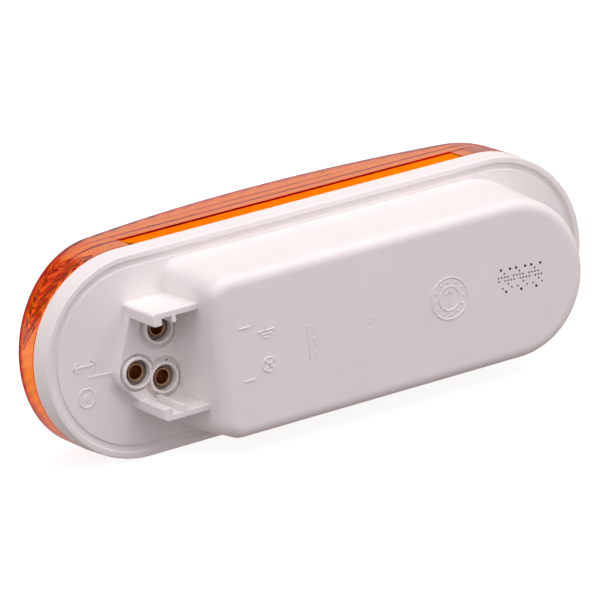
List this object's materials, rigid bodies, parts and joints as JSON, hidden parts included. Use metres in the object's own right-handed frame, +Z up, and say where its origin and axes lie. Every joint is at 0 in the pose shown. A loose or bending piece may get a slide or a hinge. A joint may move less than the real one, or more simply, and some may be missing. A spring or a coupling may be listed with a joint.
{
  "type": "trailer tail light",
  "caption": "Oval sealed trailer tail light: crowned amber lens on a deep white housing with a shrouded three-socket plug bay at one end.",
  "frame": {"origin": "centre of the flange's rear face, where the oval grommet or bracket bears", "axes": "+X along the lamp's length towards the plug bay, +Y out of the back of the housing with the lens facing -Y, +Z up across the lamp's width"},
  "size_m": [0.165, 0.0554, 0.055],
  "materials": {
    "housing_plastic": "satin white injection-moulded plastic",
    "amber_lens": "clear amber polycarbonate, polished outside, fluted inside",
    "seal_bead": "cured clear adhesive",
    "reflector_mirror": "vacuum-metallised plastic",
    "bulb_glass": "clear blown glass",
    "brass": "bright turned brass",
    "spring_steel": "plated steel",
    "tungsten": "drawn tungsten wire",
    "solder": "tinned solder",
    "black_insulator": "black moulded insulator",
    "laminate": "brown phenolic laminate",
    "silicone": "dark silicone rubber",
    "potting": "cast potting compound",
    "lead_white": "white extruded insulation",
    "lead_yellow": "yellow extruded insulation",
    "lead_brown": "brown extruded insulation"
  },
  "bodies": {
    "root": {"housing": "housing_plastic", "lens": "amber_lens", "lens_seal_bead": "seal_bead", "reflector": "reflector_mirror", "bulb_glass": "bulb_glass", "bulb_stem": "bulb_glass", "bulb_base": "brass", "bulb_insulator": "black_insulator", "bulb_contact_stop": "solder", "bulb_contact_tail": "solder", "filament_post_common": "spring_steel", "filament_post_stop": "spring_steel", "filament_post_tail": "spring_steel", "filament_stop": "tungsten", "filament_tail": "tungsten", "bulb_cradle": "spring_steel", "shock_bush_near": "silicone", "shock_bush_far": "silicone", "cradle_screw_near": "spring_steel", "cradle_screw_far": "spring_steel", "reflector_screw_near": "spring_steel", "reflector_screw_far": "spring_steel", "contact_carrier": "laminate", "contact_spring_stop": "brass", "contact_spring_tail": "brass", "terminal_board": "laminate", "terminal_seal": "potting", "terminal_ground": "brass", "terminal_stop": "brass", "terminal_tail": "brass", "lead_ground": "lead_white", "lead_stop": "lead_yellow", "lead_tail": "lead_brown"}
  },
  "joints": []
}
